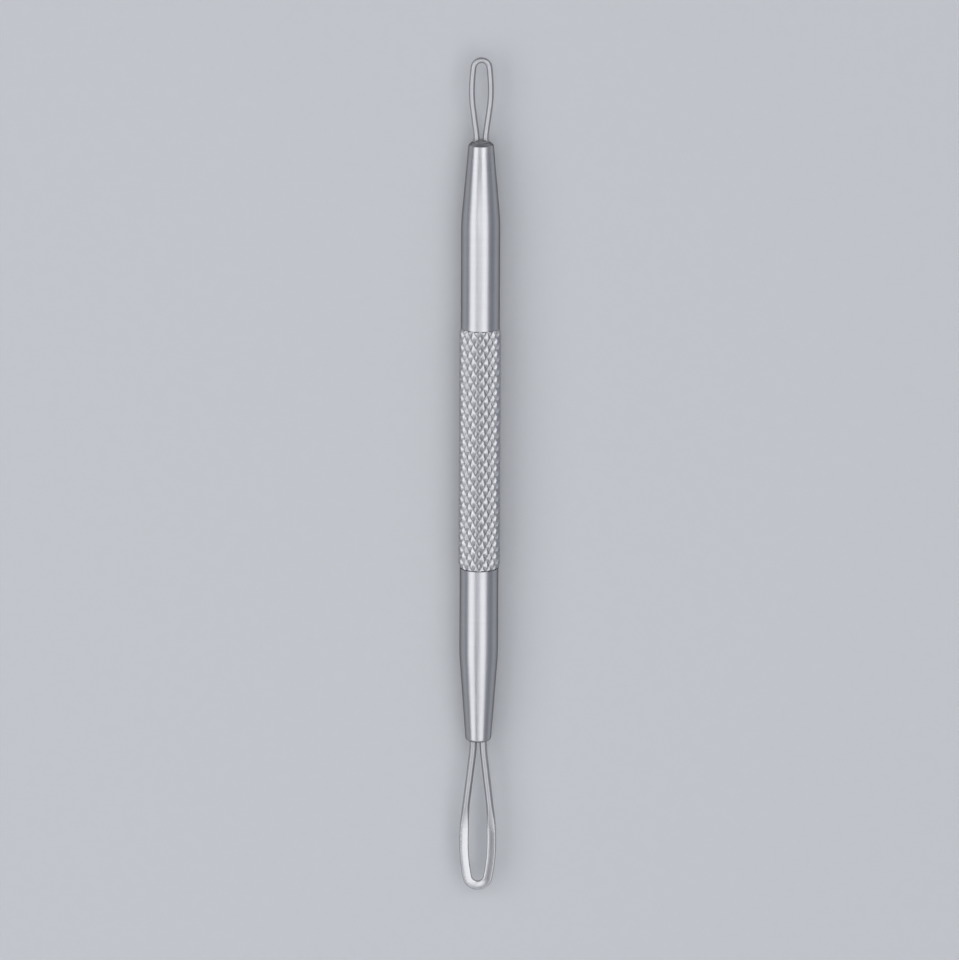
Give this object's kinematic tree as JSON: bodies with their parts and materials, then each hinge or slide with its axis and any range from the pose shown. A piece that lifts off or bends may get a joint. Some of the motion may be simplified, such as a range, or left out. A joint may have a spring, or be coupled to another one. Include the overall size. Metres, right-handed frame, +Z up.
{
  "type": "blackhead extractor",
  "caption": "Double-ended skin care tool: a straight knurled steel handle with a flattened wire loop at one end and a smaller round wire loop at the other.",
  "frame": {"origin": "centre of the bounding box in plan, on the surface that the tool lies on", "axes": "+Y along the handle towards the small loop, +Z up, and both loops lie level in the XY plane at the height of the handle's axis"},
  "size_m": [0.005, 0.1024, 0.005],
  "materials": {
    "satin_steel": "satin stainless steel, turned and knurled",
    "wire_steel": "drawn stainless steel wire, polished",
    "braze": "silver braze, cleaned and dull"
  },
  "bodies": {
    "root": {"handle": "satin_steel", "large_loop": "wire_steel", "small_loop": "wire_steel", "large_loop_braze": "braze", "small_loop_braze": "braze"}
  },
  "joints": []
}
